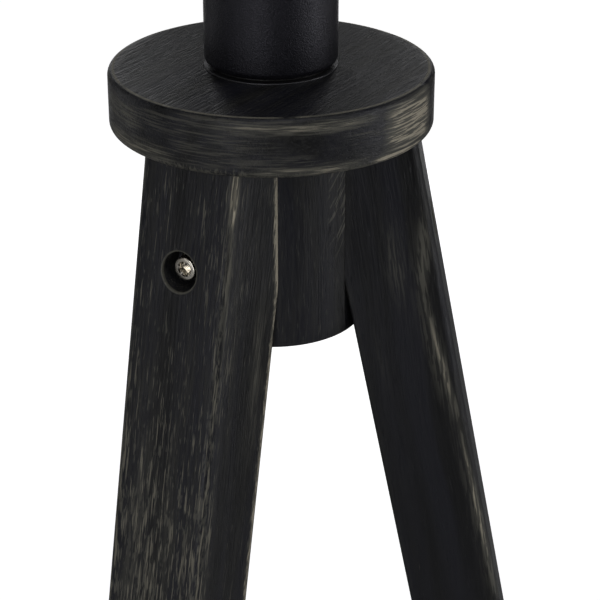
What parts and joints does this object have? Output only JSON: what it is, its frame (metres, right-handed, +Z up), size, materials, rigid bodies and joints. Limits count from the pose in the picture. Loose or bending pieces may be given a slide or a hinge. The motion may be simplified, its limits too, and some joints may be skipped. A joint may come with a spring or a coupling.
{
  "type": "tripod stand",
  "caption": "Free-standing timber tripod with splayed legs bolted to a turned hub under a round cap disc, and a steel column that turns on a spindle and takes a mast in its top.",
  "frame": {"origin": "on the floor, on the axis of the column", "axes": "+Z up along the column's axis; -Y towards the front, +X to the right as seen from the front"},
  "size_m": [0.2883, 0.3201, 0.9],
  "materials": {
    "stained_wood": "black stain, matt, rubbed through to pale wood along the edges",
    "powder_coat": "fine sandy black powder coat",
    "bright_plate": "bright zinc plate",
    "insert_brass": "plain",
    "bush_bronze": "oiled bronze",
    "dowel_wood": "bare beech",
    "black_nylon": "moulded, matt",
    "pad_rubber": "matt"
  },
  "bodies": {
    "tripod": {"top_disc": "stained_wood", "hub": "stained_wood", "leg_front_left": "stained_wood", "leg_right": "stained_wood", "leg_back_left": "stained_wood", "leg_bolts": "bright_plate", "leg_bolt_washers": "bright_plate", "leg_inserts": "insert_brass", "leg_dowels": "dowel_wood", "foot_pad_front_left": "pad_rubber", "foot_pad_right": "pad_rubber", "foot_pad_back_left": "pad_rubber", "foot_screws": "bright_plate", "disc_screws": "bright_plate", "spindle": "bright_plate", "base_washer": "bright_plate", "base_nut": "bright_plate", "clamp_nut": "bright_plate", "wear_plate": "bright_plate", "thrust_washer": "black_nylon", "retaining_washer": "bright_plate", "retaining_nut": "bright_plate"},
    "column": {"column_tube": "powder_coat", "lower_bearing_plate": "bright_plate", "lower_bush": "bush_bronze", "upper_bearing_plate": "bright_plate", "upper_bush": "bush_bronze", "socket_liner": "black_nylon"}
  },
  "joints": [
    {"name": "column_swivel", "type": "hinge", "parent": "tripod", "child": "column", "pos_m": [0, 0, 0.62], "axis": [0, 0, 1], "continuous": true}
  ]
}
